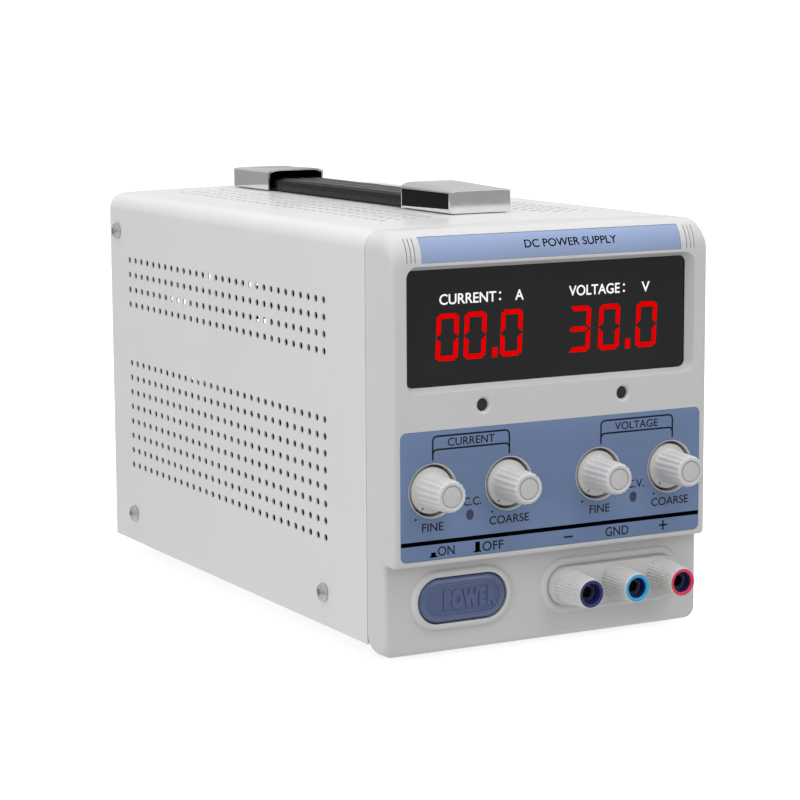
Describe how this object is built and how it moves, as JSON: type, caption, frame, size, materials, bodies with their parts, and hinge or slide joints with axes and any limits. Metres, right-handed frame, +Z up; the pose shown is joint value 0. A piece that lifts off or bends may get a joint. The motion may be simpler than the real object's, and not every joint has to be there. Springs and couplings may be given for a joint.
{
  "type": "bench power supply",
  "caption": "Bench-top laboratory supply: perforated metal case with carry strap, twin digital display, coarse and fine control knobs, push power button and screw binding posts.",
  "frame": {"origin": "on the ground under the centre of the overall box", "axes": "+Z up, +Y from the front panel to the rear panel, +X to the right as seen from the front"},
  "size_m": [0.1346, 0.2542, 0.1588],
  "materials": {
    "cover_paint": "satin light grey powder coat",
    "chassis_metal": "satin light grey powder coat",
    "bezel_plastic": "fine moulded texture",
    "overlay_film": "satin printed film",
    "title_film": "satin printed film",
    "display_filter": "gloss",
    "circuit_board": "solder mask",
    "black_plastic": "moulded",
    "lamp_lens": "clear lens, unlit",
    "knob_plastic": "moulded satin",
    "steel": "bright",
    "button_plastic": "moulded satin",
    "socket_metal": "nickel plated",
    "collar_navy": "moulded",
    "collar_cyan": "moulded",
    "collar_red": "moulded",
    "chrome": "polished",
    "screw_metal": "zinc plated",
    "strap_rubber": "ribbed satin",
    "foot_rubber": "matte",
    "winding_tape": "tape wrap",
    "aluminium": "extruded"
  },
  "bodies": {
    "case": {"top_cover": "cover_paint", "base_chassis": "chassis_metal", "rear_panel": "chassis_metal", "front_bezel": "bezel_plastic", "terminal_plate": "bezel_plastic", "control_overlay": "overlay_film", "title_strip": "title_film", "display_window": "display_filter", "control_board": "circuit_board", "main_board": "circuit_board", "current_display": "black_plastic", "voltage_display": "black_plastic", "power_switch": "black_plastic", "fan_frame": "black_plastic", "mains_inlet": "black_plastic", "filter_capacitor": "black_plastic", "led_cc": "lamp_lens", "led_cv": "lamp_lens", "pot_current_fine": "steel", "pot_current_coarse": "steel", "pot_voltage_fine": "steel", "pot_voltage_coarse": "steel", "transformer_core": "steel", "post_stud_negative": "socket_metal", "post_stud_ground": "socket_metal", "post_stud_positive": "socket_metal", "handle_cap_front": "chrome", "handle_cap_rear": "chrome", "screw_left_front": "screw_metal", "screw_left_rear": "screw_metal", "screw_left_upper": "screw_metal", "screw_right_front": "screw_metal", "screw_right_rear": "screw_metal", "screw_right_upper": "screw_metal", "strap_tongue_front": "strap_rubber", "foot_front_left": "foot_rubber", "foot_front_right": "foot_rubber", "foot_rear_left": "foot_rubber", "foot_rear_right": "foot_rubber", "transformer_winding": "winding_tape", "heat_sink": "aluminium"},
    "knob_current_fine": {"knob_current_fine": "knob_plastic", "shaft_current_fine": "steel"},
    "knob_current_coarse": {"knob_current_coarse": "knob_plastic", "shaft_current_coarse": "steel"},
    "knob_voltage_fine": {"knob_voltage_fine": "knob_plastic", "shaft_voltage_fine": "steel"},
    "knob_voltage_coarse": {"knob_voltage_coarse": "knob_plastic", "shaft_voltage_coarse": "steel"},
    "power_button": {"power_button": "button_plastic"},
    "collar_negative": {"post_collar_negative": "collar_navy"},
    "cap_negative": {"post_cap_negative": "knob_plastic"},
    "collar_ground": {"post_collar_ground": "collar_cyan"},
    "cap_ground": {"post_cap_ground": "knob_plastic"},
    "collar_positive": {"post_collar_positive": "collar_red"},
    "cap_positive": {"post_cap_positive": "knob_plastic"},
    "strap_front": {"strap_front": "strap_rubber"},
    "strap_rear": {"strap_rear": "strap_rubber"},
    "strap_tongue_rear": {"strap_tongue_rear": "strap_rubber"},
    "fan_rotor": {"fan_rotor": "black_plastic"}
  },
  "joints": [
    {"name": "current_fine_turn", "type": "hinge", "parent": "case", "child": "knob_current_fine", "pos_m": [-0.0481, -0.1138, 0.0605], "axis": [0, 1, 0], "range_deg": [0, 290]},
    {"name": "current_coarse_turn", "type": "hinge", "parent": "case", "child": "knob_current_coarse", "pos_m": [-0.0182, -0.1138, 0.0605], "axis": [0, 1, 0], "range_deg": [0, 290]},
    {"name": "voltage_fine_turn", "type": "hinge", "parent": "case", "child": "knob_voltage_fine", "pos_m": [0.0182, -0.1138, 0.0605], "axis": [0, 1, 0], "range_deg": [0, 290]},
    {"name": "voltage_coarse_turn", "type": "hinge", "parent": "case", "child": "knob_voltage_coarse", "pos_m": [0.0481, -0.1138, 0.0605], "axis": [0, 1, 0], "range_deg": [0, 290]},
    {"name": "power_push", "type": "slide", "parent": "case", "child": "power_button", "axis": [0, 1, 0], "range_m": [-0.003, 0.0008]},
    {"name": "negative_unscrew", "type": "slide", "parent": "case", "child": "collar_negative", "axis": [0, -1, 0], "range_m": [0, 0.004]},
    {"name": "negative_cap_turn", "type": "hinge", "parent": "collar_negative", "child": "cap_negative", "pos_m": [0.0083, -0.1138, 0.0208], "axis": [0, -1, 0], "range_deg": [0, 1800]},
    {"name": "ground_unscrew", "type": "slide", "parent": "case", "child": "collar_ground", "axis": [0, -1, 0], "range_m": [0, 0.004]},
    {"name": "ground_cap_turn", "type": "hinge", "parent": "collar_ground", "child": "cap_ground", "pos_m": [0.0273, -0.1138, 0.0208], "axis": [0, -1, 0], "range_deg": [0, 1800]},
    {"name": "positive_unscrew", "type": "slide", "parent": "case", "child": "collar_positive", "axis": [0, -1, 0], "range_m": [0, 0.004]},
    {"name": "positive_cap_turn", "type": "hinge", "parent": "collar_positive", "child": "cap_positive", "pos_m": [0.0463, -0.1138, 0.0208], "axis": [0, -1, 0], "range_deg": [0, 1800]},
    {"name": "handle_lift", "type": "hinge", "parent": "case", "child": "strap_front", "pos_m": [0, -0.0238, 0.1518], "axis": [1, 0, 0], "range_deg": [0, 30]},
    {"name": "handle_bend", "type": "hinge", "parent": "strap_front", "child": "strap_rear", "pos_m": [0, 0.0278, 0.1518], "axis": [1, 0, 0], "range_deg": [-60, 0]},
    {"name": "handle_end", "type": "hinge", "parent": "strap_rear", "child": "strap_tongue_rear", "pos_m": [0, 0.0794, 0.1518], "axis": [1, 0, 0], "range_deg": [0, 30]},
    {"name": "fan_spin", "type": "hinge", "parent": "case", "child": "fan_rotor", "pos_m": [-0.022, 0.1112, 0.094], "axis": [0, 1, 0], "continuous": true}
  ],
  "couplings": [
    {"joint": "negative_cap_turn", "follows": "negative_unscrew", "rad_per_m": 7854},
    {"joint": "ground_cap_turn", "follows": "ground_unscrew", "rad_per_m": 7854},
    {"joint": "positive_cap_turn", "follows": "positive_unscrew", "rad_per_m": 7854},
    {"joint": "handle_bend", "follows": "handle_lift", "ratio": -2},
    {"joint": "handle_end", "follows": "handle_lift", "ratio": 1}
  ]
}
